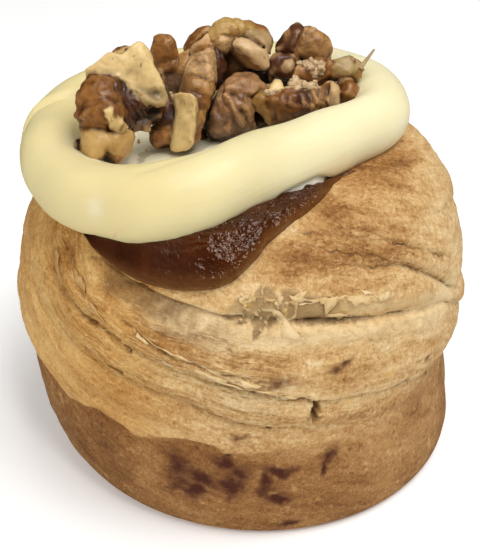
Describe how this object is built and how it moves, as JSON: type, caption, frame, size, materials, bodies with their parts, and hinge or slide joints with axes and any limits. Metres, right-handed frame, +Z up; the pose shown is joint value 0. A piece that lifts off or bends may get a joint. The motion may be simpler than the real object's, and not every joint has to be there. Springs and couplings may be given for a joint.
{
  "type": "cruffin",
  "caption": "Coiled laminated pastry with a straight wall and a folded, split crown, topped with brown sauce, a piped icing ring and broken walnut pieces.",
  "frame": {"origin": "centre of the flat underside", "axes": "+Z up, -Y towards the side where the sauce runs down, +X to the right of it"},
  "size_m": [0.0891, 0.088, 0.0835],
  "materials": {
    "crust": "matte golden brown baked crust",
    "sauce": "glossy dark brown",
    "icing": "satin pale cream",
    "walnut": "brown skin with pale broken faces"
  },
  "bodies": {
    "root": {"pastry": "crust", "sauce": "sauce", "icing": "icing", "walnut_1": "walnut", "walnut_2": "walnut", "walnut_3": "walnut", "walnut_4": "walnut", "walnut_5": "walnut", "walnut_6": "walnut", "walnut_7": "walnut", "walnut_8": "walnut", "walnut_9": "walnut", "walnut_10": "walnut"}
  },
  "joints": []
}
